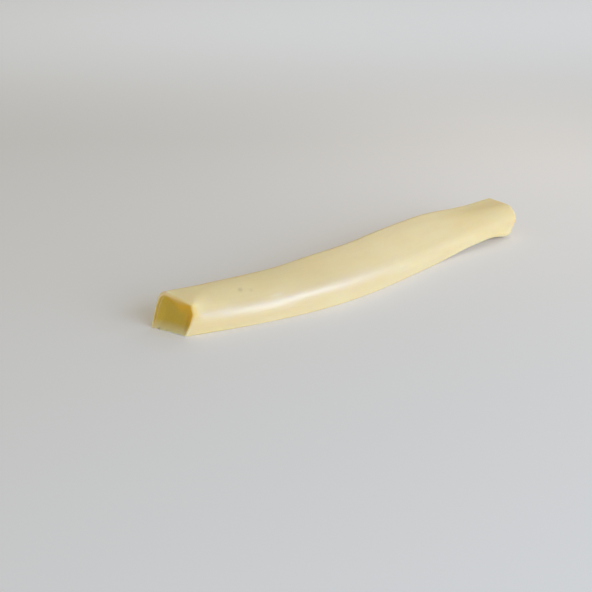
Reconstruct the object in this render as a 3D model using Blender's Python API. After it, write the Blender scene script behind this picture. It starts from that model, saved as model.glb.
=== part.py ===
"""A stick of string cheese: one bowed bar of cheese, cut off at a slant at both ends.

Metres, +Z up. The stick lies on its flat underside, z = 0, with its length along +X, and its
front, the side with the ridge, looks towards -Y. The origin is under the middle of its box.

The stick is lofted along a bowed centre line. Every cross-section has the same four corners:
the foot (front, bottom), the brow (front, top), the shoulder (back, top) and the heel (back,
bottom). A long slope cuts off the brow: it starts at a ridge on the front and ends at the edge
of the top, and both are rounded off. In a cross-section, v runs from front to back.
"""
import math

import bmesh
import bpy
from mathutils import Vector

MM = 0.001

# Centre line, seen from above: a chord along +X with three waves across it.
SPAN = 149.4 * MM
BOW = 7.7 * MM             # one half wave, towards the front
S_BEND = 3.2 * MM          # one whole wave
COUNTER_BEND = 0.55 * MM    # one and a half waves, towards the back

# Cross-section along the stick, as (share of the span, value). Its front leans out over the
# foot, and its top slopes down from the shoulder to the front.
UNDERSIDE_WIDTHS = ((0.0, 11.7 * MM), (0.5, 15.2 * MM), (1.0, 15.1 * MM))
SHOULDER_HEIGHTS = ((0.0, 12.9 * MM), (0.25, 14.1 * MM), (0.5, 15.1 * MM), (0.75, 14.0 * MM),
                    (0.9, 12.0 * MM), (1.0, 11.5 * MM))
SHOULDER_SETBACK = 0.25 * MM
FRONT_LEANS = ((0.0, math.radians(10.4)), (0.5, math.radians(8.6)), (1.0, math.radians(5.1)))
TOP_SLOPES = ((0.0, math.radians(10.9)), (0.25, math.radians(14.8)), (0.75, math.radians(15.7)),
              (1.0, 0.0))

# The foot lifts off the ground just before the right end.
FOOT_LIFT = 2.1 * MM
FOOT_LIFT_PEAK = 0.93      # share of the span
FOOT_LIFT_RISE = 0.24      # share of the span over which it lifts, and then sinks back
FOOT_LIFT_FALL = 0.14

# The slope that cuts off the brow: how far the ridge lies from the brow down the front, how far
# the edge of the top lies from it along the top, and how far each is rounded to both sides.
RIDGE_DROPS = ((0.0, 2.9 * MM), (0.04, 4.7 * MM), (0.1, 5.1 * MM), (0.2, 4.7 * MM),
               (0.3, 2.9 * MM), (0.4, 2.6 * MM), (0.55, 3.8 * MM), (0.75, 4.2 * MM),
               (0.9, 3.7 * MM), (1.0, 3.4 * MM))
EDGE_SETBACKS = ((0.0, 1.9 * MM), (0.03, 4.3 * MM), (0.08, 6.2 * MM), (0.2, 7.8 * MM),
                 (0.5, 8.2 * MM), (0.72, 6.9 * MM), (0.93, 6.0 * MM), (1.0, 3.6 * MM))
RIDGE_REACHES = ((0.0, 0.4 * MM), (0.03, 1.7 * MM), (0.08, 2.8 * MM), (0.2, 3.2 * MM),
                 (0.3, 2.7 * MM), (0.5, 3.2 * MM), (0.75, 3.2 * MM), (0.93, 3.0 * MM),
                 (1.0, 2.1 * MM))
EDGE_REACHES = ((0.0, 0.4 * MM), (0.03, 2.2 * MM), (0.08, 3.6 * MM), (0.2, 4.5 * MM),
                (0.5, 5.0 * MM), (0.72, 4.2 * MM), (0.93, 3.6 * MM), (1.0, 2.3 * MM))

# Rounding of the other corners.
SHOULDER_RADIUS = 2.0 * MM
FOOT_RADIUS = 0.6 * MM
HEEL_RADIUS = 0.6 * MM

# Slant of the two cuts: travel along the stick for each unit of v and for each unit up.
LEFT_CUT = (-0.66, 0.22)
RIGHT_CUT = (-0.03, 0.07)
CUT_ZONE = 0.13            # share of the span over which the sections turn into a cut

# Left cut: a bevelled edge, broadest over the shoulder, a thin rim and a shallow face. The
# lower edge is torn in two notches, each as (v, width, depth).
EDGE_BEVEL = 0.35 * MM
SHOULDER_BEVEL = 1.3 * MM
RIM_WIDTH = 0.45 * MM
FACE_SINK = 0.3 * MM
LOWER_SINK_SHARE = 0.25    # share of the sink that is left at the lower edge
CORE_SINK_RATIO = 1.3
NOTCHES = ((4.0 * MM, 1.9 * MM, 0.6 * MM), (1.4 * MM, 1.6 * MM, 0.35 * MM))
NOTCH_HEIGHT = 1.4 * MM

# Right cut: its edge is rounded off, most of all at the bottom.
ROUND_TOP = 1.0 * MM
ROUND_BOTTOM = 4.8 * MM
ROUND_RISE = 0.6           # share of the height over which the radius shrinks to ROUND_TOP

# Slow swell of the pressed surface.
SWELL = 0.15 * MM
SHORT_SWELL_RATIO = 0.5
SWELL_LENGTHS = (53.7 * MM, 32.6 * MM)

# Mesh density.
RING_COUNT = 56
END_CROWDING = 0.72        # 0 spaces the rings evenly, nearer 1 crowds them at both ends
ARC_STEPS = 4
RIDGE_STEPS = 6
SLOPE_STEPS = 3
EDGE_STEPS = 5
FRONT_STEPS = 4
TOP_STEPS = 4
BACK_STEPS = 6
UNDERSIDE_STEPS = 12
ROUND_STEPS = 5
FACE_CORE = 0.5            # size of the inner ring on each cut face

CHEESE_COLOUR = (0.79, 0.68, 0.40, 1.0)
CHEESE_ROUGHNESS = 0.42
SHARP_ANGLE = math.radians(50.0)


def clear_scene():
    for scene_object in list(bpy.data.objects):
        bpy.data.objects.remove(scene_object, do_unlink=True)


def along(stations, share):
    """Value at a share of the span, on a smooth curve through the (share, value) stations."""
    last = len(stations) - 1
    index = 0
    while index < last - 1 and share > stations[index + 1][0]:
        index += 1

    def slope(at):
        low, high = stations[max(at - 1, 0)], stations[min(at + 1, last)]
        return (high[1] - low[1]) / (high[0] - low[0])

    (start, start_value), (end, end_value) = stations[index], stations[index + 1]
    step = end - start
    t = min(max((share - start) / step, 0.0), 1.0)
    return (start_value * (2 * t**3 - 3 * t**2 + 1)
            + end_value * (3 * t**2 - 2 * t**3)
            + slope(index) * step * (t**3 - 2 * t**2 + t)
            + slope(index + 1) * step * (t**3 - t**2))


def fade(distance):
    """1 at zero distance, 0 at one and beyond, with no kink at either end."""
    t = min(max(1.0 - distance, 0.0), 1.0)
    return t * t * (3.0 - 2.0 * t)


def centre_line(share):
    """Point on the centre line, and the level unit vectors along the stick and across it."""
    angle = math.pi * share
    sideways = (-BOW * math.sin(angle) - S_BEND * math.sin(2 * angle)
                + COUNTER_BEND * math.sin(3 * angle))
    slope = math.pi * (-BOW * math.cos(angle) - 2 * S_BEND * math.cos(2 * angle)
                       + 3 * COUNTER_BEND * math.cos(3 * angle))
    forward = Vector((SPAN, slope, 0.0)).normalized()
    across = Vector((-forward.y, forward.x, 0.0))
    return Vector((SPAN * share, sideways, 0.0)), forward, across


def foot_lift(share):
    away = share - FOOT_LIFT_PEAK
    return FOOT_LIFT * fade(away / FOOT_LIFT_FALL if away > 0.0 else -away / FOOT_LIFT_RISE)


def corners_at(share):
    """The cross-section's four corners as (v, z) points, before they are rounded off."""
    half_width = along(UNDERSIDE_WIDTHS, share) / 2
    lean = math.tan(along(FRONT_LEANS, share))
    slope = math.tan(along(TOP_SLOPES, share))
    foot = Vector((-half_width, foot_lift(share)))
    heel = Vector((half_width, 0.0))
    shoulder = Vector((half_width - SHOULDER_SETBACK, along(SHOULDER_HEIGHTS, share)))
    rise = (shoulder.y - foot.y - (shoulder.x - foot.x) * slope) / (1.0 + lean * slope)
    brow = foot + Vector((-rise * lean, rise))
    return foot, brow, shoulder, heel


def corner_arc(before, corner, after, radius):
    """A round corner, as ARC_STEPS steps with both ends of the arc included."""
    to_before = (before - corner).normalized()
    to_after = (after - corner).normalized()
    half_angle = to_before.angle(to_after) / 2
    reach = radius / math.tan(half_angle)
    start = corner + to_before * reach
    centre = corner + (to_before + to_after).normalized() * (reach / math.cos(half_angle))
    spoke = start - centre
    turn = -spoke.angle_signed(corner + to_after * reach - centre)
    points = []
    for step in range(ARC_STEPS + 1):
        cosine = math.cos(turn * step / ARC_STEPS)
        sine = math.sin(turn * step / ARC_STEPS)
        points.append(centre + Vector((spoke.x * cosine - spoke.y * sine,
                                       spoke.x * sine + spoke.y * cosine)))
    return points


def bend(start, corner, end, steps):
    """A corner rounded off by a parabola, as a number of steps with both ends included."""
    points = []
    for step in range(steps + 1):
        t = step / steps
        points.append(start.lerp(corner, t).lerp(corner.lerp(end, t), t))
    return points


def brow_slope(foot, brow, shoulder, share):
    """Round the ridge, up the slope, and round the edge of the top."""
    down = (foot - brow).normalized()
    back = (shoulder - brow).normalized()
    ridge = brow + down * along(RIDGE_DROPS, share)
    edge = brow + back * along(EDGE_SETBACKS, share)
    up = (edge - ridge).normalized()
    ridge_reach = along(RIDGE_REACHES, share)
    edge_reach = along(EDGE_REACHES, share)
    lower = bend(ridge + down * ridge_reach, ridge, ridge + up * ridge_reach, RIDGE_STEPS)
    upper = bend(edge - up * edge_reach, edge, edge + back * edge_reach, EDGE_STEPS)
    slope = [lower[-1].lerp(upper[0], step / SLOPE_STEPS) for step in range(1, SLOPE_STEPS)]
    return lower + slope + upper


def swelled(outline, distance):
    """The outline with the slow swell of the surface added, except on its flat underside."""
    long_wave, short_wave = SWELL_LENGTHS
    middle = sum(outline, Vector((0.0, 0.0))) / len(outline)
    points = []
    for point in outline:
        spoke = point - middle
        turn = math.atan2(spoke.y, spoke.x)
        swell = (math.sin(2 * math.pi * distance / long_wave + 2 * turn)
                 + SHORT_SWELL_RATIO * math.sin(2 * math.pi * distance / short_wave - 3 * turn))
        above_foot = 1.0 - fade(point.y / middle.y)
        points.append(point + spoke.normalized() * SWELL * swell * above_foot)
    return points


def outline_at(share):
    """The cross-section at a share of the span, as (v, z) points that run once round it."""
    foot, brow, shoulder, heel = corners_at(share)
    curves = (
        (corner_arc(heel, foot, brow, FOOT_RADIUS), FRONT_STEPS),
        (brow_slope(foot, brow, shoulder, share), TOP_STEPS),
        (corner_arc(brow, shoulder, heel, SHOULDER_RADIUS), BACK_STEPS),
        (corner_arc(shoulder, heel, foot, HEEL_RADIUS), UNDERSIDE_STEPS),
    )
    points = []
    for index, (curve, steps) in enumerate(curves):
        next_curve = curves[(index + 1) % len(curves)][0]
        points.extend(curve)
        points.extend(curve[-1].lerp(next_curve[0], step / steps) for step in range(1, steps))
    return swelled(points, SPAN * share)


def edge_bevel(point, outline):
    """Width of the left cut's bevel at a point of its outline: broadest over the shoulder."""
    top = max(place.y for place in outline)
    back = max(place.x for place in outline)
    over_shoulder = fade((top - point.y) / back) * fade((back - point.x) / (2 * back))
    return EDGE_BEVEL + (SHOULDER_BEVEL - EDGE_BEVEL) * over_shoulder


def edge_radius(point, outline):
    """Radius that rounds off the right cut's edge at a point of its outline."""
    top = max(place.y for place in outline)
    return ROUND_TOP + (ROUND_BOTTOM - ROUND_TOP) * fade(point.y / (ROUND_RISE * top))


def placed(share, outline, push):
    """An outline set across the stick in space, slanted near the ends as the cuts are.

    push holds each point's travel along the stick from the plane of the cut.
    """
    centre, forward, across = centre_line(share)
    near_left = fade(share / CUT_ZONE)
    near_right = fade((1.0 - share) / CUT_ZONE)
    ring = []
    for point, travel in zip(outline, push):
        slant = (near_left * (LEFT_CUT[0] * point.x + LEFT_CUT[1] * point.y)
                 + near_right * (RIGHT_CUT[0] * point.x + RIGHT_CUT[1] * point.y))
        ring.append(centre + forward * (slant + travel) + across * point.x
                    + Vector((0.0, 0.0, point.y)))
    return ring


def side_ring(share):
    """A ring on the side of the stick, drawn back from each cut by the width of its edge."""
    outline = outline_at(share)
    near_left = fade(share / CUT_ZONE)
    near_right = fade((1.0 - share) / CUT_ZONE)
    push = [near_left * edge_bevel(point, outline) - near_right * edge_radius(point, outline)
            for point in outline]
    return placed(share, outline, push)


def inset(outline, distances):
    """The outline with each point moved towards its middle by its own distance."""
    middle = sum(outline, Vector((0.0, 0.0))) / len(outline)
    return [point + (middle - point).normalized() * distance
            for point, distance in zip(outline, distances)]


def scaled(outline, factor):
    middle = sum(outline, Vector((0.0, 0.0))) / len(outline)
    return [middle.lerp(point, factor) for point in outline]


def tear_depth(point):
    """How far the torn lower edge of the left cut lies back at a point of its outline."""
    depth = sum(deep * fade(2 * abs(point.x - place) / width) for place, width, deep in NOTCHES)
    return depth * fade(point.y / NOTCH_HEIGHT)


def left_cut_rings():
    """Rings of the left cut, from its edge inwards: bevel, rim, and the shallow face."""
    outline = outline_at(0.0)
    top = max(point.y for point in outline)
    bevel = [edge_bevel(point, outline) for point in outline]
    tear = [tear_depth(point) for point in outline]
    sink = [FACE_SINK * (LOWER_SINK_SHARE + (1.0 - LOWER_SINK_SHARE) * point.y / top)
            for point in outline]
    bevel_in = inset(outline, bevel)
    rim_in = inset(outline, [width + RIM_WIDTH for width in bevel])
    face_in = inset(outline, [width + 2 * RIM_WIDTH for width in bevel])
    return [
        placed(0.0, outline, [width + depth for width, depth in zip(bevel, tear)]),
        placed(0.0, bevel_in, tear),
        placed(0.0, rim_in, tear),
        placed(0.0, face_in, [low + depth for low, depth in zip(sink, tear)]),
        placed(0.0, scaled(outline, FACE_CORE), [CORE_SINK_RATIO * low for low in sink]),
    ]


def right_cut_rings():
    """Rings of the right cut, from its rounded edge inwards."""
    outline = outline_at(1.0)
    middle = sum(outline, Vector((0.0, 0.0))) / len(outline)
    radii = [edge_radius(point, outline) for point in outline]
    shares = [radius / (radius + (point - middle).length)
              for point, radius in zip(outline, radii)]
    rings = []
    for step in range(1, ROUND_STEPS + 1):
        angle = 0.5 * math.pi * step / ROUND_STEPS
        rounded = [point.lerp(middle, share * (1.0 - math.cos(angle)))
                   for point, share in zip(outline, shares)]
        rings.append(placed(1.0, rounded, [radius * (math.sin(angle) - 1.0) for radius in radii]))
    rings.append(placed(1.0, scaled(rounded, FACE_CORE), [0.0] * len(outline)))
    return rings


def ring_share(index):
    """Share of the span at which a side ring lies: the rings stand closer at both ends."""
    even = index / (RING_COUNT - 1)
    return even - END_CROWDING * math.sin(2 * math.pi * even) / (2 * math.pi)


def stick_rings():
    """All rings, from the inside of the left cut, along the side, to the inside of the right."""
    left = list(reversed(left_cut_rings()))
    side = [side_ring(ring_share(index)) for index in range(1, RING_COUNT)]
    return left + side + right_cut_rings()


def centred(rings):
    """The rings moved so that the origin lies under the middle of their box."""
    points = [point for ring in rings for point in ring]
    low = Vector(min(point[axis] for point in points) for axis in range(3))
    high = Vector(max(point[axis] for point in points) for axis in range(3))
    origin = Vector(((low.x + high.x) / 2, (low.y + high.y) / 2, low.z))
    return [[point - origin for point in ring] for ring in rings]


def lofted_mesh(name, rings):
    """A closed mesh through the rings, with a fan of triangles at each end."""
    shape = bmesh.new()
    loops = [[shape.verts.new(point) for point in ring] for ring in rings]
    count = len(rings[0])
    for loop, next_loop in zip(loops, loops[1:]):
        for index in range(count):
            after = (index + 1) % count
            shape.faces.new((loop[index], loop[after], next_loop[after], next_loop[index]))
    for loop, ring in ((loops[0], rings[0]), (loops[-1], rings[-1])):
        hub = shape.verts.new(sum(ring, Vector()) / count)
        for index in range(count):
            shape.faces.new((loop[index], loop[(index + 1) % count], hub))
    bmesh.ops.recalc_face_normals(shape, faces=shape.faces)
    mesh = bpy.data.meshes.new(name)
    shape.to_mesh(mesh)
    shape.free()
    return mesh


def cheese_material():
    material = bpy.data.materials.new("cheese")
    material.use_nodes = True
    shader = material.node_tree.nodes["Principled BSDF"]
    shader.inputs["Base Color"].default_value = CHEESE_COLOUR
    shader.inputs["Roughness"].default_value = CHEESE_ROUGHNESS
    shader.inputs["Metallic"].default_value = 0.0
    return material


def build_stick():
    mesh = lofted_mesh("cheese_stick", centred(stick_rings()))
    mesh.shade_smooth()
    mesh.set_sharp_from_angle(angle=SHARP_ANGLE)
    mesh.materials.append(cheese_material())
    stick = bpy.data.objects.new("cheese_stick", mesh)
    bpy.context.scene.collection.objects.link(stick)
    return stick


clear_scene()
build_stick()
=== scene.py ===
"""Looks of a stick of string cheese that lies on a pale floor in soft studio light.

Metres, +Z up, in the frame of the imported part: length along +X, front with the ridge towards
-Y, flat underside at z = 0. The frame's solid is replaced by a finer loft from the same
driving dimensions. Added to it are the grain of both cuts, the beaded rim and the flared foot
of the left one, the lip along the foot of the front, and the fibres, dents, pits and pressed
marks of the skin.

In a cross-section, v runs from front to back. "Grain" coordinates are (distance along the
stick, v, z): every pattern on the cheese is drawn in them, so it follows the bow. A bearing
turns round the middle of a cross-section: 0 degrees is its back side and 90 is its top.
"""

import math

import bmesh
import bpy
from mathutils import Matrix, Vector, noise


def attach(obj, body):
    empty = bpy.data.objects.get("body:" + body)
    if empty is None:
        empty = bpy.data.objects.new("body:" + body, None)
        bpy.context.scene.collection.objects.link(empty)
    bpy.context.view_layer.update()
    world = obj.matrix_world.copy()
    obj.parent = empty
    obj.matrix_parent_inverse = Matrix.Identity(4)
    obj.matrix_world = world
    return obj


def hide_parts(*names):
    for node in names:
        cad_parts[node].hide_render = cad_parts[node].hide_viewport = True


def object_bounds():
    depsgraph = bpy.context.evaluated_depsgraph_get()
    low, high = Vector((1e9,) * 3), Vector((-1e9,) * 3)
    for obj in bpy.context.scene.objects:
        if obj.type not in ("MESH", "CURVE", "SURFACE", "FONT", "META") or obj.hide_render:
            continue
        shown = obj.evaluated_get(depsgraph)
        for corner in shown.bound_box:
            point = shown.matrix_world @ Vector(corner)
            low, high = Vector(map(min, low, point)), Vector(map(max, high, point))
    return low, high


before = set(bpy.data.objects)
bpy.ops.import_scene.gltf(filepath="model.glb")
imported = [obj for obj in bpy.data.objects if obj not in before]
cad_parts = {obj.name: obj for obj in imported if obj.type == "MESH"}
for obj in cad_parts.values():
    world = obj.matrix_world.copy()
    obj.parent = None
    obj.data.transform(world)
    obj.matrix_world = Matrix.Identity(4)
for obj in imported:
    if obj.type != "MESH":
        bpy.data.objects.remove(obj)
cad_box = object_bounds()

MM = 0.001

# Centre line, seen from above: a chord along +X with three waves across it.
SPAN = 149.4 * MM
BOW = 7.7 * MM
S_BEND = 3.2 * MM
COUNTER_BEND = 0.55 * MM

# Cross-section along the stick, as (share of the span, value).
UNDERSIDE_WIDTHS = ((0.0, 11.7 * MM), (0.5, 15.2 * MM), (1.0, 15.1 * MM))
SHOULDER_HEIGHTS = ((0.0, 12.9 * MM), (0.25, 14.1 * MM), (0.5, 15.1 * MM), (0.75, 14.0 * MM),
                    (0.9, 12.0 * MM), (1.0, 11.5 * MM))
SHOULDER_SETBACK = 0.25 * MM
FRONT_LEANS = ((0.0, math.radians(10.4)), (0.5, math.radians(8.6)), (1.0, math.radians(5.1)))
TOP_SLOPES = ((0.0, math.radians(10.9)), (0.25, math.radians(14.8)), (0.75, math.radians(15.7)),
              (1.0, 0.0))

# Lift of the front foot near the right end: its height, and its peak, rise and fall in shares of
# the span.
FOOT_LIFT = 2.1 * MM
FOOT_LIFT_PEAK = 0.93
FOOT_LIFT_RISE = 0.24
FOOT_LIFT_FALL = 0.14

# The slope that cuts off the brow, from the ridge up to the edge of the top.
RIDGE_DROPS = ((0.0, 2.9 * MM), (0.04, 4.7 * MM), (0.1, 5.1 * MM), (0.2, 4.7 * MM),
               (0.3, 2.9 * MM), (0.4, 2.6 * MM), (0.55, 3.8 * MM), (0.75, 4.2 * MM),
               (0.9, 3.7 * MM), (1.0, 3.4 * MM))
EDGE_SETBACKS = ((0.0, 1.9 * MM), (0.03, 4.3 * MM), (0.08, 6.2 * MM), (0.2, 7.8 * MM),
                 (0.5, 8.2 * MM), (0.72, 6.9 * MM), (0.93, 6.0 * MM), (1.0, 3.6 * MM))
RIDGE_REACHES = ((0.0, 0.4 * MM), (0.03, 1.7 * MM), (0.08, 2.8 * MM), (0.2, 3.2 * MM),
                 (0.3, 2.7 * MM), (0.5, 3.2 * MM), (0.75, 3.2 * MM), (0.93, 3.0 * MM),
                 (1.0, 2.1 * MM))
EDGE_REACHES = ((0.0, 0.4 * MM), (0.03, 2.2 * MM), (0.08, 3.6 * MM), (0.2, 4.5 * MM),
                (0.5, 5.0 * MM), (0.72, 4.2 * MM), (0.93, 3.6 * MM), (1.0, 2.3 * MM))

# Rounding of the other corners.
SHOULDER_RADIUS = 2.0 * MM
FOOT_RADIUS = 0.6 * MM
HEEL_RADIUS = 0.6 * MM

# Slant of the two cuts: travel along the stick for each unit of v, and for each unit up.
LEFT_CUT = (-0.66, 0.22)
RIGHT_CUT = (-0.03, 0.07)
CUT_ZONE = 0.13            # share of the span over which the slant and the edge fade out

# Edges of the cuts: a bevel on the left one, with notches in its lower part as (v, width,
# depth), and a rounding of the right one.
EDGE_BEVEL = 0.35 * MM
SHOULDER_BEVEL = 1.3 * MM
NOTCHES = ((4.0 * MM, 1.9 * MM, 0.6 * MM), (1.4 * MM, 1.6 * MM, 0.35 * MM))
NOTCH_HEIGHT = 1.4 * MM
ROUND_TOP = 1.0 * MM
ROUND_BOTTOM = 4.8 * MM
ROUND_RISE = 0.6           # share of the height above which the rounding is that of the top

# Slow swell of the surface, in two waves along the stick.
SWELL = 0.15 * MM
SHORT_SWELL_RATIO = 0.5
SWELL_LENGTHS = (53.7 * MM, 32.6 * MM)

# Left cut face: a rim that is beaded on its back side, then a shallow hollow with a flared foot.
BEAD_HEIGHT = 0.14 * MM
RIM_WIDTH = 0.95 * MM
RIM_ZONE = 1.6 * MM        # how far the rim reaches from the back over the top
THIN_RIM = 0.12 * MM       # what is left of the rim on the other sides
TOP_RIM = 1.5 * MM         # breadth over which skin turns into cut face along the top
FACE_SINK = 0.28 * MM
SINK_ZONE = 2.2 * MM       # how far in from the rim the hollow reaches its depth
FLARE = 0.6 * MM           # how far the foot of the face stands out
FLARE_RISE = 3.8 * MM      # height where the face lies back most behind it
FLARE_FALL = 7.0 * MM      # height above that over which the flare runs out
TEAR_ZONE = 1.2 * MM       # how far in the notches of the lower edge reach

# Grain of both cut faces: a coarse and a fine pattern, as (size, factor on its heights). A
# factor below 1 draws a pattern out from top to bottom.
FACE_GRAIN = 0.035 * MM
COARSE_GRAIN = (1.6 * MM, 0.6)
FINE_GRAIN = (0.5 * MM, 0.5)
FINE_GRAIN_RATIO = 0.5
RIGHT_GRAIN_ZONE = 1.0 / 6.0   # share of the way in over which it sets in on the right cut

# Sides of a cross-section, as (bearing of the middle, half of the arc).
TOP_SIDE = (math.radians(85.0), math.radians(75.0))
FOOT_SIDE = (math.radians(-90.0), math.radians(75.0))
LIP_SIDE = (math.radians(32.0), math.radians(52.0))
RIDGE_SIDE = (math.radians(167.0), math.radians(28.0))
GLOW_SIDE = (math.radians(138.0), math.radians(138.0))   # painted glow: where light shining through the face is painted on
CORNER_SIDE = (math.radians(150.0), math.radians(52.0))  # and where it is painted on the skin next to it

# Paints that the rings carry for the material.
PAINTS = ("cut", "glow", "lip", "ridge")
BEAD_CUT = 0.6             # how much the beads of the rim count as cut face
BESIDE_RIM_CUT = 0.5       # and the face right beside them, over this distance
BESIDE_RIM_ZONE = 0.3 * MM
RIGHT_FACE_CUT = 0.5       # and the right cut, from this share of the way in
RIGHT_FACE_ZONE = 0.5
GLOW_ZONE = 5.0 * MM       # reach of the painted glow in over the left face, and along the skin
CORNER_ZONE = 3.0 * MM
LIP_ZONE = 0.35 * MM       # reach of the lip along the skin, and share of the bevel it covers
LIP_BEVEL_SHARE = 0.7
RIDGE_HIGHLIGHT_STRENGTH = 0.55      # strength of the painted highlight along the ridge, between these distances along the stick
RIDGE_START = 5.0 * MM
RIDGE_END = 62.0 * MM
RIDGE_START_ZONE = 4.0 * MM    # it fades out over these distances beyond them
RIDGE_END_ZONE = 30.0 * MM

# Relief of the skin.
FOOT_LIP_HEIGHT = 0.12 * MM    # thin lip along the foot of the front
FOOT_LIP_LEVEL = 0.45 * MM
FOOT_LIP_ZONE = 2.0 * MM       # how far in front of the centre line it sets in
FIBRE_DEPTH = 0.022 * MM
FIBRE_SIZE = (9.0 * MM, 0.42 * MM)      # along the stick, across it
DENT_DEPTH = 0.09 * MM
DENT_SIZE = (12.0 * MM, 5.0 * MM)
DENT_LEVEL = 0.4               # share of their depth by which the skin is lower on the whole
DENT_FREE_HEIGHT = 3.0 * MM    # they fade out below this height

# Marks of the skin, at grain coordinates: small pits as (place, radius, share of the depth), and
# pale pressed patches as (place, half sizes along and across, strength).
PIT_DEPTH = 0.10 * MM
PITS = (((23.9 * MM, -1.3 * MM, 11.0 * MM), 1.4 * MM, 1.0),
        ((27.3 * MM, -2.2 * MM, 10.6 * MM), 1.2 * MM, 0.6),
        ((25.4 * MM, 0.6 * MM, 11.7 * MM), 0.8 * MM, 0.3))
MARK_HEIGHT = 0.07 * MM
MARKS = (((34.8 * MM, -5.1 * MM, 8.4 * MM), (4.2 * MM, 1.3 * MM), 0.8),
         ((38.3 * MM, -7.4 * MM, 4.2 * MM), (6.0 * MM, 0.5 * MM), 0.6),
         ((85.9 * MM, -7.9 * MM, 5.5 * MM), (2.4 * MM, 0.4 * MM), 1.0),
         ((87.6 * MM, -8.1 * MM, 3.6 * MM), (3.0 * MM, 0.35 * MM), 0.8),
         ((61.0 * MM, -2.0 * MM, 12.3 * MM), (4.0 * MM, 0.7 * MM), 0.5))

# Mesh density.
RING_COUNT = 300
END_CROWDING = 0.45        # 0 spaces the rings evenly, 1 crowds them most at both ends
FOOT_ARC_STEPS = 6
SHOULDER_ARC_STEPS = 10
HEEL_ARC_STEPS = 5
RIDGE_STEPS = 18
SLOPE_STEPS = 8
EDGE_STEPS = 16
FRONT_STEPS = 30
TOP_STEPS = 20
BACK_STEPS = 24
UNDERSIDE_STEPS = 34
ROUND_STEPS = 12
BEVEL_STEPS = 5
RIM_STEPS = 6
FACE_STEPS = 26
FACE_CROWDING = 1.5        # above 1, the rings of the left cut face crowd towards its rim

# Colours of the skin, whose clouds run from pale to deep, and of the cuts, whose crumb does. The
# cuts are darker and more saturated than the skin, partly as the crumb's own yellower tone and
# partly as painted shade with warm bounced light.
SKIN_PALE = (0.915, 0.735, 0.405)
SKIN_DEEP = (0.885, 0.69, 0.355)
SKIN_THREAD = (0.94, 0.78, 0.475)
# Painted light: the skin is painted brighter and warmer along its foot.
SKIN_FOOT_PAINTED_LIGHT = (1.0, 0.71, 0.30)
# Painted glow: light shining through the cheese, painted on the skin.
SKIN_GLOW = (0.91, 0.63, 0.18)
# Lip colour: the pale thin edge of the left cut, and along its foot painted light, a bright lower
# edge.
SKIN_LIP = (0.97, 0.86, 0.60)
# Painted highlight: the skin is painted paler and whiter along the ridge.
SKIN_RIDGE_HIGHLIGHT = (0.885, 0.74, 0.60)
SKIN_MARK = (0.95, 0.84, 0.66)
# Painted shade in the pits.
SKIN_PIT_SHADE = (0.72, 0.57, 0.29)
# Cut colours: the crumb's own yellower tone, darkened and saturated as painted shade.
CUT_PALE_CRUMB_AND_SHADE = (0.67, 0.465, 0.045)
CUT_DEEP_CRUMB_AND_SHADE = (0.62, 0.415, 0.025)
# Painted glow: light shining through the cut face, painted on.
CUT_GLOW = (0.84, 0.48, 0.006)
# Painted light: the lower part of the cut face is painted paler.
CUT_FOOT_PAINTED_LIGHT = (0.77, 0.64, 0.33)
CUT_LIP = (0.95, 0.84, 0.55)
SCATTER_RADIUS = (1.0, 0.8, 0.35)
SCATTER_SCALE = 1.6 * MM

# How much of its colour each of these shows at most, and the heights between which the painted
# light along the skin's foot and along the cuts' foot runs out.
THREAD_STRENGTH = 0.3
GLOW_STRENGTH = 0.55       # of the painted glow, on the skin
MARK_STRENGTH = 0.6
PIT_SHADE_STRENGTH = 0.8
SKIN_FOOT_LIGHT_STRENGTH = 0.75
SKIN_FOOT_LIGHT_HEIGHTS = (0.2 * MM, 1.1 * MM)
CUT_FOOT_LIGHT_STRENGTH = 0.95
CUT_FOOT_LIGHT_HEIGHTS = (0.4 * MM, 3.8 * MM)

# Patterns of the material, as sizes along the stick, across it and up, and the ranges of noise
# over which they go from one colour to the other.
CLOUD_SIZE = (16.0 * MM, 7.0 * MM, 7.0 * MM)
THREAD_SIZE = (7.0 * MM, 0.35 * MM, 0.35 * MM)
SPECK_SIZE = (0.9 * MM, 0.6 * MM, 0.6 * MM)
CRUMB_SIZE = (0.5 * MM, 0.35 * MM, 0.5 * MM)
NOISE_RANGE = (0.3, 0.7)   # of the clouds and specks
THREAD_RANGE = (0.35, 0.75)
CRUMB_RANGE = (0.25, 0.75)
THREAD_BUMP = 0.02 * MM
SPECK_BUMP = 0.015 * MM

# Sheen: a skin under a rough coat, duller near both ends and weaker on the cuts.
SKIN_IOR = 1.46
SKIN_ROUGHNESS = (0.40, 0.50)
DULL_ROUGHNESS = 0.3       # added where the sheen is dull
CUT_SPECULAR = 0.75
COAT_IOR = 1.9
COAT_ROUGHNESS = 0.5
DULL_COAT = 0.1
DULL_LEFT = (-10.0 * MM, 42.0 * MM)         # where along the stick the left dullness runs out
DULL_RIGHT = (0.68 * SPAN, 0.95 * SPAN)     # and where the right one sets in

# Floor and the light from all around.
FLOOR_REACH = 2.5          # half of its side
FLOOR_COLOUR = (0.97, 0.95, 1.0, 1.0)
FLOOR_ROUGHNESS = 0.7
SKY_COLOUR = (1.0, 0.95, 0.76, 1.0)
SKY_STRENGTH = 0.405

# Camera.
CAMERA_PLACE = Vector((-0.3349, -0.3845, 0.2050))
CAMERA_AZIMUTH = math.radians(-38.78)
CAMERA_ELEVATION = math.radians(22.4)
CAMERA_LENS_MM = 97.3
CAMERA_SENSOR_MM = 36.0


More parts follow.
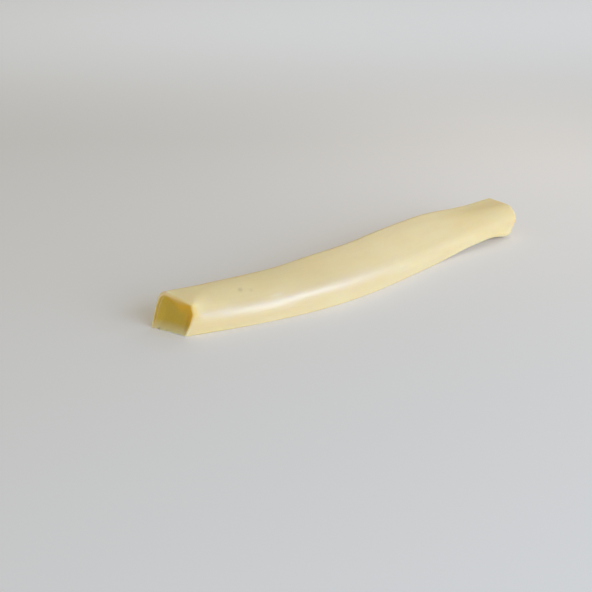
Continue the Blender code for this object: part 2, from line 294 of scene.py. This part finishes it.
def along(stations, share):
    """Value at a share of the span, on a smooth curve through the (share, value) stations."""
    last = len(stations) - 1
    index = 0
    while index < last - 1 and share > stations[index + 1][0]:
        index += 1

    def slope(at):
        low, high = stations[max(at - 1, 0)], stations[min(at + 1, last)]
        return (high[1] - low[1]) / (high[0] - low[0])

    (start, start_value), (end, end_value) = stations[index], stations[index + 1]
    step = end - start
    t = min(max((share - start) / step, 0.0), 1.0)
    return (start_value * (2 * t**3 - 3 * t**2 + 1)
            + end_value * (3 * t**2 - 2 * t**3)
            + slope(index) * step * (t**3 - 2 * t**2 + t)
            + slope(index + 1) * step * (t**3 - t**2))


def fade(distance):
    """1 at zero distance, 0 at one and beyond, with no kink at either end."""
    t = min(max(1.0 - distance, 0.0), 1.0)
    return t * t * (3.0 - 2.0 * t)


def centre_line(share):
    """Point on the centre line, and the level unit vectors along the stick and across it."""
    angle = math.pi * share
    sideways = (-BOW * math.sin(angle) - S_BEND * math.sin(2 * angle)
                + COUNTER_BEND * math.sin(3 * angle))
    slope = math.pi * (-BOW * math.cos(angle) - 2 * S_BEND * math.cos(2 * angle)
                       + 3 * COUNTER_BEND * math.cos(3 * angle))
    forward = Vector((SPAN, slope, 0.0)).normalized()
    across = Vector((-forward.y, forward.x, 0.0))
    return Vector((SPAN * share, sideways, 0.0)), forward, across


def foot_lift(share):
    away = share - FOOT_LIFT_PEAK
    return FOOT_LIFT * fade(away / FOOT_LIFT_FALL if away > 0.0 else -away / FOOT_LIFT_RISE)


def corners_at(share):
    """The cross-section's four corners as (v, z) points, before they are rounded off."""
    half_width = along(UNDERSIDE_WIDTHS, share) / 2
    lean = math.tan(along(FRONT_LEANS, share))
    slope = math.tan(along(TOP_SLOPES, share))
    foot = Vector((-half_width, foot_lift(share)))
    heel = Vector((half_width, 0.0))
    shoulder = Vector((half_width - SHOULDER_SETBACK, along(SHOULDER_HEIGHTS, share)))
    rise = (shoulder.y - foot.y - (shoulder.x - foot.x) * slope) / (1.0 + lean * slope)
    brow = foot + Vector((-rise * lean, rise))
    return foot, brow, shoulder, heel


def corner_arc(before, corner, after, radius, steps):
    """A round corner, as a number of steps with both ends of the arc included."""
    to_before = (before - corner).normalized()
    to_after = (after - corner).normalized()
    half_angle = to_before.angle(to_after) / 2
    reach = radius / math.tan(half_angle)
    start = corner + to_before * reach
    centre = corner + (to_before + to_after).normalized() * (reach / math.cos(half_angle))
    spoke = start - centre
    turn = -spoke.angle_signed(corner + to_after * reach - centre)
    points = []
    for step in range(steps + 1):
        cosine = math.cos(turn * step / steps)
        sine = math.sin(turn * step / steps)
        points.append(centre + Vector((spoke.x * cosine - spoke.y * sine,
                                       spoke.x * sine + spoke.y * cosine)))
    return points


def bend(start, corner, end, steps):
    """A corner rounded off by a parabola, as a number of steps with both ends included."""
    points = []
    for step in range(steps + 1):
        t = step / steps
        points.append(start.lerp(corner, t).lerp(corner.lerp(end, t), t))
    return points


def brow_slope(foot, brow, shoulder, share):
    """Round the ridge, up the slope, and round the edge of the top."""
    down = (foot - brow).normalized()
    back = (shoulder - brow).normalized()
    ridge = brow + down * along(RIDGE_DROPS, share)
    edge = brow + back * along(EDGE_SETBACKS, share)
    up = (edge - ridge).normalized()
    ridge_reach = along(RIDGE_REACHES, share)
    edge_reach = along(EDGE_REACHES, share)
    lower = bend(ridge + down * ridge_reach, ridge, ridge + up * ridge_reach, RIDGE_STEPS)
    upper = bend(edge - up * edge_reach, edge, edge + back * edge_reach, EDGE_STEPS)
    slope = [lower[-1].lerp(upper[0], step / SLOPE_STEPS) for step in range(1, SLOPE_STEPS)]
    return lower + slope + upper


def middle_of(outline):
    return sum(outline, Vector((0.0, 0.0))) / len(outline)


def swelled(outline, distance):
    """The outline with the slow swell of the surface added, except on its flat underside."""
    long_wave, short_wave = SWELL_LENGTHS
    middle = middle_of(outline)
    points = []
    for point in outline:
        spoke = point - middle
        turn = math.atan2(spoke.y, spoke.x)
        swell = (math.sin(2 * math.pi * distance / long_wave + 2 * turn)
                 + SHORT_SWELL_RATIO * math.sin(2 * math.pi * distance / short_wave - 3 * turn))
        above_foot = 1.0 - fade(point.y / middle.y)
        points.append(point + spoke.normalized() * SWELL * swell * above_foot)
    return points


def outline_at(share):
    """The cross-section at a share of the span, as (v, z) points that run once round it."""
    foot, brow, shoulder, heel = corners_at(share)
    curves = (
        (corner_arc(heel, foot, brow, FOOT_RADIUS, FOOT_ARC_STEPS), FRONT_STEPS),
        (brow_slope(foot, brow, shoulder, share), TOP_STEPS),
        (corner_arc(brow, shoulder, heel, SHOULDER_RADIUS, SHOULDER_ARC_STEPS), BACK_STEPS),
        (corner_arc(shoulder, heel, foot, HEEL_RADIUS, HEEL_ARC_STEPS), UNDERSIDE_STEPS),
    )
    points = []
    for index, (curve, steps) in enumerate(curves):
        next_curve = curves[(index + 1) % len(curves)][0]
        points.extend(curve)
        points.extend(curve[-1].lerp(next_curve[0], step / steps) for step in range(1, steps))
    return swelled(points, SPAN * share)


def edge_bevel(point, top, back):
    """Width of the left cut's bevel at a point of its outline: broadest over the shoulder."""
    over_shoulder = fade((top - point.y) / back) * fade((back - point.x) / (2 * back))
    return EDGE_BEVEL + (SHOULDER_BEVEL - EDGE_BEVEL) * over_shoulder


def edge_radius(point, top):
    """Radius that rounds off the right cut's edge at a point of its outline."""
    return ROUND_TOP + (ROUND_BOTTOM - ROUND_TOP) * fade(point.y / (ROUND_RISE * top))


def tear_depth(point):
    """How far the torn lower edge of the left cut lies back at a point of its outline."""
    depth = sum(deep * fade(2 * abs(point.x - place) / width) for place, width, deep in NOTCHES)
    return depth * fade(point.y / NOTCH_HEIGHT)


def near_cuts(share):
    """How far a ring follows the left cut, and the right cut: 1 at the cut itself."""
    return fade(share / CUT_ZONE), fade((1.0 - share) / CUT_ZONE)


class Ring:
    """A loop of points across the stick, with their places and their grain coordinates.

    Its paints are numbers from 0 to 1 for each point: cut tells a cut face from the skin, glow
    is painted light where light shines through the cheese, lip is the pale thin edge of the left
    cut and painted light along its foot, and ridge is a painted highlight along the ridge.
    """

    def __init__(self, share, outline, push, **paints):
        self.way = SPAN * share
        self.paints = {name: paints.get(name) or [0.0] * len(outline) for name in PAINTS}
        centre, forward, across = centre_line(share)
        near_left, near_right = near_cuts(share)
        self.places = []
        self.grain = []
        for point, travel in zip(outline, push):
            slant = (near_left * (LEFT_CUT[0] * point.x + LEFT_CUT[1] * point.y)
                     + near_right * (RIGHT_CUT[0] * point.x + RIGHT_CUT[1] * point.y))
            self.places.append(centre + forward * (slant + travel) + across * point.x
                               + Vector((0.0, 0.0, point.y)))
            self.grain.append(Vector((self.way + slant + travel, point.x, point.y)))


def towards(point, middle, side):
    """1 where a point lies on the given side of the middle, fading to 0 at the side's ends."""
    side_bearing, half_arc = side
    bearing = math.atan2(point.y - middle.y, point.x - middle.x)
    away = abs((bearing - side_bearing + math.pi) % (2 * math.pi) - math.pi)
    return fade(away / half_arc)


def side_paints(outline, way):
    """Paints of the skin at a distance along the stick."""
    middle = middle_of(outline)
    # The ridge paint is a painted highlight.
    ridge_highlight = (RIDGE_HIGHLIGHT_STRENGTH * fade((RIDGE_START - way) / RIDGE_START_ZONE)
                * fade((way - RIDGE_END) / RIDGE_END_ZONE))
    reaches = {"glow": (CORNER_SIDE, fade(way / CORNER_ZONE)),
               "lip": (LIP_SIDE, fade(way / LIP_ZONE)),
               "ridge": (RIDGE_SIDE, ridge_highlight)}
    return {name: [towards(point, middle, side) * share for point in outline]
            for name, (side, share) in reaches.items()}


def side_ring(share):
    """A ring on the side of the stick, drawn back from each cut by the width of its edge."""
    outline = outline_at(share)
    top = max(point.y for point in outline)
    back = max(point.x for point in outline)
    near_left, near_right = near_cuts(share)
    push = [near_left * edge_bevel(point, top, back) - near_right * edge_radius(point, top)
            for point in outline]
    return Ring(share, outline, push, **side_paints(outline, SPAN * share))


def inset(outline, distances):
    """The outline with each point moved towards its middle by its own distance."""
    middle = middle_of(outline)
    return [point + (middle - point).normalized() * distance
            for point, distance in zip(outline, distances)]


def face_grain(point):
    """Fine roughness of a cut face: crumbly, and drawn out slightly from top to bottom."""
    coarse, fine = (noise.noise(Vector((point.x, factor * point.y, layer)) / size)
                    for layer, (size, factor) in enumerate((COARSE_GRAIN, FINE_GRAIN)))
    return FACE_GRAIN * (coarse + FINE_GRAIN_RATIO * fine)


def flare_depth(point):
    """How far a cut face lies back behind its flared foot."""
    above = point.y - FLARE_RISE
    return FLARE * (fade(-above / FLARE_RISE) if above < 0.0 else fade(above / FLARE_FALL))


class LeftCut:
    """The left cut: its outline, and the rings of its bevel, its rim and its face."""

    def __init__(self):
        self.outline = outline_at(0.0)
        self.middle = middle_of(self.outline)
        top = max(point.y for point in self.outline)
        back = max(point.x for point in self.outline)
        self.bevel = [edge_bevel(point, top, back) for point in self.outline]
        self.tear = [tear_depth(point) for point in self.outline]
        self.on_back = [fade((back - point.x) / RIM_ZONE) for point in self.outline]
        self.on_top = [share * (1.0 - back_share)
                       for share, back_share in zip(self.on_side(TOP_SIDE), self.on_back)]
        self.on_foot = self.on_side(FOOT_SIDE)
        # Painted glow over the face, where light shining through it is painted on.
        self.warm = self.on_side(GLOW_SIDE)
        self.rim = [THIN_RIM + (RIM_WIDTH - THIN_RIM) * back_share
                    + (TOP_RIM - THIN_RIM) * top_share
                    for back_share, top_share in zip(self.on_back, self.on_top)]

    def on_side(self, side):
        return [towards(point, self.middle, side) for point in self.outline]

    def bevel_rings(self):
        """From the skin round to the plane of the cut."""
        rings = []
        for step in range(BEVEL_STEPS + 1):
            angle = 0.5 * math.pi * step / BEVEL_STEPS
            edge = inset(self.outline, [width * (1.0 - math.cos(angle)) for width in self.bevel])
            push = [width * (1.0 - math.sin(angle)) + deep
                    for width, deep in zip(self.bevel, self.tear)]
            on_lip = fade(step / (LIP_BEVEL_SHARE * BEVEL_STEPS))
            # Along the foot the lip colour is painted light: a bright lower edge where it lies in
            # shade.
            lip = [max(share * on_lip, foot_share)
                   for share, foot_share in zip(self.on_side(LIP_SIDE), self.on_foot)]
            # Painted glow on the corner and over the top of the bevel.
            glow = [max(share, top_share * step / BEVEL_STEPS)
                    for share, top_share in zip(self.on_side(CORNER_SIDE), self.on_top)]
            rings.append(Ring(0.0, edge, push, glow=glow, lip=lip))
        return rings

    def rim_rings(self):
        """In over the rim, with a hollow between two beads along the back side."""
        rings = []
        for step in range(1, RIM_STEPS + 1):
            share_in = step / RIM_STEPS
            hollow = 0.5 * (1.0 - math.cos(2 * math.pi * share_in))
            edge = inset(self.outline, [width + rim * share_in
                                        for width, rim in zip(self.bevel, self.rim)])
            push = [deep + BEAD_HEIGHT * hollow * share
                    for deep, share in zip(self.tear, self.on_back)]
            cut = [(1.0 - share) * math.sqrt(share_in)
                   + (BEAD_CUT + (1.0 - BEAD_CUT) * hollow) * share for share in self.on_back]
            # Along the foot the lip colour is painted light.
            rings.append(Ring(0.0, edge, push, cut=cut, glow=self.warm,
                              lip=self.on_foot if step < RIM_STEPS else None))
        return rings

    def face_rings(self):
        """In over the face to its middle."""
        edge = inset(self.outline, [width + rim for width, rim in zip(self.bevel, self.rim)])
        rings = []
        for step in range(1, FACE_STEPS + 1):
            share_in = (step / (FACE_STEPS + 1)) ** FACE_CROWDING
            loop = [point.lerp(self.middle, share_in) for point in edge]
            push = []
            cut = []
            glow = []
            for point, edge_point, deep, back_share, warm_share in zip(
                    loop, edge, self.tear, self.on_back, self.warm):
                inward = (point - edge_point).length
                hollow = 1.0 - fade(inward / SINK_ZONE)
                push.append((FACE_SINK + face_grain(point) + flare_depth(point)) * hollow
                            + deep * fade(inward / TEAR_ZONE))
                cut.append(1.0 - (1.0 - BESIDE_RIM_CUT) * back_share
                           * fade(inward / BESIDE_RIM_ZONE))
                glow.append(warm_share * fade(inward / GLOW_ZONE))
            rings.append(Ring(0.0, loop, push, cut=cut, glow=glow))
        return rings


def right_cut_rings():
    """Rings of the right cut, from its rounded edge inwards."""
    outline = outline_at(1.0)
    middle = middle_of(outline)
    top = max(point.y for point in outline)
    radii = [edge_radius(point, top) for point in outline]
    shares = [radius / (radius + (point - middle).length)
              for point, radius in zip(outline, radii)]
    rings = []
    for step in range(1, ROUND_STEPS + 1):
        angle = 0.5 * math.pi * step / ROUND_STEPS
        rounded = [point.lerp(middle, share * (1.0 - math.cos(angle)))
                   for point, share in zip(outline, shares)]
        rings.append(Ring(1.0, rounded, [radius * (math.sin(angle) - 1.0) for radius in radii]))
    for step in range(1, FACE_STEPS + 1):
        share_in = step / (FACE_STEPS + 1)
        loop = [point.lerp(middle, share_in) for point in rounded]
        grain_share = 1.0 - fade(share_in / RIGHT_GRAIN_ZONE)
        push = [grain_share * (face_grain(point) - FACE_GRAIN) for point in loop]
        cut = [RIGHT_FACE_CUT * (1.0 - fade(share_in / RIGHT_FACE_ZONE))] * len(loop)
        rings.append(Ring(1.0, loop, push, cut=cut))
    return rings


def ring_share(index):
    """Share of the span at which a side ring lies: the rings stand closer at both ends."""
    even = index / (RING_COUNT - 1)
    return even - END_CROWDING * math.sin(2 * math.pi * even) / (2 * math.pi)


def spot(grain, place, half_size):
    """1 in the middle of an oval spot on the skin, 0 outside it."""
    away = Vector((grain.x - place[0], grain.y - place[1], grain.z - place[2]))
    return fade(math.hypot(away.x / half_size[0], away.yz.length / half_size[1]))


def pit_share(grain):
    return max(depth * spot(grain, place, (radius, radius)) for place, radius, depth in PITS)


def mark_share(grain):
    return max(share * spot(grain, place, half_size) for place, half_size, share in MARKS)


def skin_noise(grain, size):
    """Noise from -1 to 1, with features of the given size along and across the stick."""
    length, breadth = size
    return noise.noise(Vector((grain.x / length, grain.y / breadth, grain.z / breadth)))


def skin_relief(grain):
    """How far the skin stands out at a place: fibres, dents, the foot's lip, pits and marks."""
    fibre = skin_noise(grain, FIBRE_SIZE)
    dent = skin_noise(grain, DENT_SIZE)
    above_foot = 1.0 - fade(grain.z / DENT_FREE_HEIGHT)
    lip = fade(abs(grain.z - foot_lift(grain.x / SPAN) - FOOT_LIP_LEVEL) / FOOT_LIP_LEVEL)
    on_front = 1.0 - fade(-grain.y / FOOT_LIP_ZONE)
    return (FIBRE_DEPTH * fibre + DENT_DEPTH * (dent - DENT_LEVEL) * above_foot
            + FOOT_LIP_HEIGHT * lip * on_front - PIT_DEPTH * pit_share(grain)
            + MARK_HEIGHT * mark_share(grain))


def stick_rings():
    """All rings of the stick, from the middle of the left cut to the middle of the right cut."""
    left_cut = LeftCut()
    inwards = left_cut.bevel_rings() + left_cut.rim_rings() + left_cut.face_rings()
    side = [side_ring(ring_share(index)) for index in range(1, RING_COUNT)]
    return inwards[::-1] + side + right_cut_rings()


def ground_centre(places):
    """The point below the middle of the places, at the height of the lowest one."""
    low = Vector(min(place[axis] for place in places) for axis in range(3))
    high = Vector(max(place[axis] for place in places) for axis in range(3))
    return Vector(((low.x + high.x) / 2, (low.y + high.y) / 2, low.z))


def add_band(shape, loop, next_loop):
    """Smooth faces between two loops of vertices."""
    for index in range(len(loop)):
        after = (index + 1) % len(loop)
        face = shape.faces.new((loop[index], loop[after], next_loop[after], next_loop[index]))
        face.smooth = True


def close_loop(shape, loop):
    """Smooth faces from a loop of vertices to a new one in its middle."""
    hub = shape.verts.new(sum((vert.co for vert in loop), Vector()) / len(loop))
    for index in range(len(loop)):
        face = shape.faces.new((loop[index], loop[(index + 1) % len(loop)], hub))
        face.smooth = True


def raise_skin(shape, grain):
    """Adds the relief to a shape whose vertices have the given grain coordinates."""
    shape.normal_update()
    normals = [vert.normal.copy() for vert in shape.verts]
    low, high = cad_box
    for vert, normal, coordinate in zip(shape.verts, normals, grain):
        place = vert.co + normal * skin_relief(coordinate)
        vert.co = Vector(min(max(place[axis], low[axis]), high[axis]) for axis in range(3))


def add_values(mesh, name, values):
    """Gives each point of the mesh a number of its own."""
    attribute = mesh.attributes.new(name, "FLOAT", "POINT")
    for item, value in zip(attribute.data, values):
        item.value = value


def stick_mesh():
    rings = stick_rings()
    ends = (rings[0], rings[-1])
    origin = ground_centre([place for ring in rings for place in ring.places])
    shape = bmesh.new()
    loops = [[shape.verts.new(place - origin) for place in ring.places] for ring in rings]
    for loop, next_loop in zip(loops, loops[1:]):
        add_band(shape, loop, next_loop)
    close_loop(shape, loops[0])
    close_loop(shape, loops[-1])
    bmesh.ops.recalc_face_normals(shape, faces=shape.faces)

    # The two closing vertices come last. They get the mean of their ring's values.
    grain = [coordinate for ring in rings for coordinate in ring.grain]
    grain += [sum(ring.grain, Vector()) / len(ring.grain) for ring in ends]
    raise_skin(shape, grain)
    mesh = bpy.data.meshes.new("cheese_stick_skin")
    shape.to_mesh(mesh)
    shape.free()
    attribute = mesh.attributes.new("grain", "FLOAT_VECTOR", "POINT")
    for item, coordinate in zip(attribute.data, grain):
        item.vector = coordinate
    for name in PAINTS:
        add_values(mesh, name, [value for ring in rings for value in ring.paints[name]]
                   + [sum(ring.paints[name]) / len(ring.grain) for ring in ends])
    add_values(mesh, "way", [ring.way for ring in rings for place in ring.places]
               + [ring.way for ring in ends])
    add_values(mesh, "pit_shade", [pit_share(coordinate) for coordinate in grain])
    add_values(mesh, "mark", [mark_share(coordinate) for coordinate in grain])
    return mesh


class Nodes:
    """Short calls for building a material's nodes."""

    def __init__(self, name):
        self.material = bpy.data.materials.new(name)
        self.material.use_nodes = True
        self.tree = self.material.node_tree
        self.shader = self.tree.nodes["Principled BSDF"]

    def add(self, kind, **settings):
        node = self.tree.nodes.new(kind)
        for key, value in settings.items():
            setattr(node, key, value)
        return node

    def link(self, source, target):
        self.tree.links.new(source, target)

    def attribute(self, name, output="Fac"):
        return self.add("ShaderNodeAttribute", attribute_name=name).outputs[output]

    def noise(self, coordinates, size, detail=2.0, roughness=0.5):
        """Noise in grain coordinates, with features of the given size along, across and up."""
        mapping = self.add("ShaderNodeMapping")
        mapping.inputs["Scale"].default_value = [1.0 / length for length in size]
        texture = self.add("ShaderNodeTexNoise")
        texture.inputs["Scale"].default_value = 1.0
        texture.inputs["Detail"].default_value = detail
        texture.inputs["Roughness"].default_value = roughness
        self.link(coordinates, mapping.inputs["Vector"])
        self.link(mapping.outputs["Vector"], texture.inputs["Vector"])
        return texture.outputs["Fac"]

    def ramp(self, source, first, last, start=0.0, end=1.0):
        """Numbers from first to last, as the source runs from start to end."""
        node = self.add("ShaderNodeMapRange", interpolation_type="SMOOTHSTEP")
        node.inputs["From Min"].default_value = start
        node.inputs["From Max"].default_value = end
        node.inputs["To Min"].default_value = first
        node.inputs["To Max"].default_value = last
        self.link(source, node.inputs["Value"])
        return node.outputs["Result"]

    def math(self, operation, first, second):
        node = self.add("ShaderNodeMath", operation=operation)
        self.link(first, node.inputs[0])
        self.link(second, node.inputs[1])
        return node.outputs["Value"]

    def mix(self, factor, first, second):
        """Colour between first and second; each is a colour or a socket."""
        node = self.add("ShaderNodeMix", data_type="RGBA")
        self.link(factor, node.inputs["Factor"])
        for name, value in (("A", first), ("B", second)):
            socket = next(item for item in node.inputs if item.name == name and item.type == "RGBA")
            if isinstance(value, bpy.types.NodeSocket):
                self.link(value, socket)
            else:
                socket.default_value = (*value, 1.0)
        return next(item for item in node.outputs if item.type == "RGBA")

    def bump(self, height, distance, strength, normal=None):
        node = self.add("ShaderNodeBump")
        node.inputs["Strength"].default_value = strength
        node.inputs["Distance"].default_value = distance
        self.link(height, node.inputs["Height"])
        if normal is not None:
            self.link(normal, node.inputs["Normal"])
        return node.outputs["Normal"]


def skin_colour(nodes, height, cloud, thread):
    """Clouds and threads, with painted light along the foot and the paints, among them painted
    glow, highlight and pit shade, laid over them.
    """
    colour = nodes.mix(nodes.ramp(cloud, 0.0, 1.0, *NOISE_RANGE), SKIN_PALE, SKIN_DEEP)
    threads = nodes.ramp(thread, 0.0, THREAD_STRENGTH, *THREAD_RANGE)
    colour = nodes.mix(threads, colour, SKIN_THREAD)
    # Painted highlight along the ridge.
    colour = nodes.mix(nodes.attribute("ridge"), colour, SKIN_RIDGE_HIGHLIGHT)
    # Painted light along the foot of the skin.
    foot = nodes.ramp(height, SKIN_FOOT_LIGHT_STRENGTH, 0.0, *SKIN_FOOT_LIGHT_HEIGHTS)
    colour = nodes.mix(foot, colour, SKIN_FOOT_PAINTED_LIGHT)
    # Painted glow where light shines through the cheese.
    glow = nodes.ramp(nodes.attribute("glow"), 0.0, GLOW_STRENGTH)
    colour = nodes.mix(glow, colour, SKIN_GLOW)
    colour = nodes.mix(nodes.attribute("lip"), colour, SKIN_LIP)
    mark = nodes.ramp(nodes.attribute("mark"), 0.0, MARK_STRENGTH)
    colour = nodes.mix(mark, colour, SKIN_MARK)
    # Painted shade in the pits.
    pit_shade = nodes.ramp(nodes.attribute("pit_shade"), 0.0, PIT_SHADE_STRENGTH)
    return nodes.mix(pit_shade, colour, SKIN_PIT_SHADE)


def cut_colour(nodes, height, crumb):
    """Crumb with painted shade, then painted glow where light shines through it, its foot painted
    paler as light, and its edge.
    """
    # Crumb colours, partly painted shade.
    colour = nodes.mix(nodes.ramp(crumb, 0.0, 1.0, *CRUMB_RANGE), CUT_PALE_CRUMB_AND_SHADE, CUT_DEEP_CRUMB_AND_SHADE)
    colour = nodes.mix(nodes.attribute("glow"), colour, CUT_GLOW)
    # Painted light: the lower part of the face is painted paler.
    foot = nodes.ramp(height, CUT_FOOT_LIGHT_STRENGTH, 0.0, *CUT_FOOT_LIGHT_HEIGHTS)
    colour = nodes.mix(foot, colour, CUT_FOOT_PAINTED_LIGHT)
    return nodes.mix(nodes.attribute("lip"), colour, CUT_LIP)


def cheese_material():
    nodes = Nodes("cheese")
    shader = nodes.shader
    shader.subsurface_method = "RANDOM_WALK"
    shader.inputs["Metallic"].default_value = 0.0
    shader.inputs["IOR"].default_value = SKIN_IOR
    shader.inputs["Coat Roughness"].default_value = COAT_ROUGHNESS
    shader.inputs["Coat IOR"].default_value = COAT_IOR
    shader.inputs["Subsurface Weight"].default_value = 1.0
    shader.inputs["Subsurface Radius"].default_value = SCATTER_RADIUS
    shader.inputs["Subsurface Scale"].default_value = SCATTER_SCALE

    grain = nodes.attribute("grain", "Vector")
    axes = nodes.add("ShaderNodeSeparateXYZ")
    nodes.link(grain, axes.inputs["Vector"])
    height = axes.outputs["Z"]
    cloud = nodes.noise(grain, CLOUD_SIZE, detail=3.0)
    thread = nodes.noise(grain, THREAD_SIZE, detail=3.0, roughness=0.6)
    speck = nodes.noise(grain, SPECK_SIZE)
    crumb = nodes.noise(grain, CRUMB_SIZE, detail=4.0, roughness=0.65)
    cut = nodes.attribute("cut")
    colour = nodes.mix(cut, skin_colour(nodes, height, cloud, thread),
                       cut_colour(nodes, height, crumb))
    nodes.link(colour, shader.inputs["Base Color"])

    way = nodes.attribute("way")
    dull = nodes.math("MAXIMUM", nodes.ramp(way, 1.0, 0.0, *DULL_LEFT),
                      nodes.ramp(way, 0.0, 1.0, *DULL_RIGHT))
    rough = nodes.math("ADD", nodes.ramp(speck, *SKIN_ROUGHNESS, *NOISE_RANGE),
                       nodes.ramp(dull, 0.0, DULL_ROUGHNESS))
    nodes.link(rough, shader.inputs["Roughness"])
    nodes.link(nodes.ramp(dull, 1.0, DULL_COAT), shader.inputs["Coat Weight"])
    nodes.link(nodes.ramp(cut, 1.0, CUT_SPECULAR), shader.inputs["Specular IOR Level"])
    normal = nodes.bump(thread, THREAD_BUMP, strength=0.4)
    normal = nodes.bump(speck, SPECK_BUMP, strength=0.3, normal=normal)
    nodes.link(normal, shader.inputs["Normal"])
    return nodes.material


def build_stick():
    mesh = stick_mesh()
    mesh.materials.append(cheese_material())
    stick = bpy.data.objects.new("stick_surface", mesh)
    bpy.context.scene.collection.objects.link(stick)
    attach(stick, "root")
    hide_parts("cheese_stick")


def build_floor():
    mesh = bpy.data.meshes.new("floor")
    corners = [(x * FLOOR_REACH, y * FLOOR_REACH, 0.0)
               for x, y in ((-1, -1), (1, -1), (1, 1), (-1, 1))]
    mesh.from_pydata(corners, [], [(0, 1, 2, 3)])
    nodes = Nodes("floor")
    nodes.shader.inputs["Base Color"].default_value = FLOOR_COLOUR
    nodes.shader.inputs["Roughness"].default_value = FLOOR_ROUGHNESS
    mesh.materials.append(nodes.material)
    floor = bpy.data.objects.new("floor", mesh)
    bpy.context.scene.collection.objects.link(floor)


def add_area_light(name, azimuth, elevation, aim, distance, width, height, power, colour):
    """A softbox that faces a place on the floor. Azimuth 0 is +X and 90 is +Y."""
    lamp = bpy.data.lights.new(name, "AREA")
    lamp.shape = "RECTANGLE"
    lamp.size = width
    lamp.size_y = height
    lamp.energy = power
    lamp.color = colour
    turn, lift = math.radians(azimuth), math.radians(elevation)
    away = Vector((math.cos(turn) * math.cos(lift), math.sin(turn) * math.cos(lift),
                   math.sin(lift)))
    light = bpy.data.objects.new(name, lamp)
    light.location = Vector(aim) + away * distance
    light.rotation_euler = (-away).to_track_quat("-Z", "Y").to_euler()
    bpy.context.scene.collection.objects.link(light)


def build_lights():
    """Cool light from the front, a small warm one over the right end, and one on the floor."""
    world = bpy.data.worlds.new("studio")
    world.use_nodes = True
    background = world.node_tree.nodes["Background"]
    background.inputs["Color"].default_value = SKY_COLOUR
    background.inputs["Strength"].default_value = SKY_STRENGTH
    bpy.context.scene.world = world
    add_area_light("key", azimuth=-88.0, elevation=20.0, aim=(-0.02, 0.0, 0.0), distance=0.9,
                   width=0.8, height=0.55, power=5.3, colour=(0.65, 0.80, 1.0))
    add_area_light("window", azimuth=-50.0, elevation=20.0, aim=(0.0, 0.0, 0.0), distance=1.6,
                   width=1.0, height=0.8, power=4.15, colour=(0.65, 0.80, 1.0))
    add_area_light("top", azimuth=20.0, elevation=58.0, aim=(0.085, 0.02, 0.0), distance=0.17,
                   width=0.14, height=0.14, power=0.045, colour=(1.0, 0.88, 0.74))
    add_area_light("backdrop", azimuth=231.0, elevation=35.0, aim=(0.62, 0.5, 0.0), distance=0.5,
                   width=0.9, height=0.3, power=0.62, colour=(0.78, 0.89, 1.0))


def build_camera():
    lens = bpy.data.cameras.new("camera")
    lens.lens = CAMERA_LENS_MM
    lens.sensor_width = CAMERA_SENSOR_MM
    camera = bpy.data.objects.new("camera", lens)
    camera.location = CAMERA_PLACE
    camera.rotation_euler = (math.pi / 2 - CAMERA_ELEVATION, 0.0, CAMERA_AZIMUTH)
    bpy.context.scene.collection.objects.link(camera)
    bpy.context.scene.camera = camera


bpy.context.scene.view_settings.view_transform = "Standard"
build_stick()
build_floor()
build_lights()
build_camera()
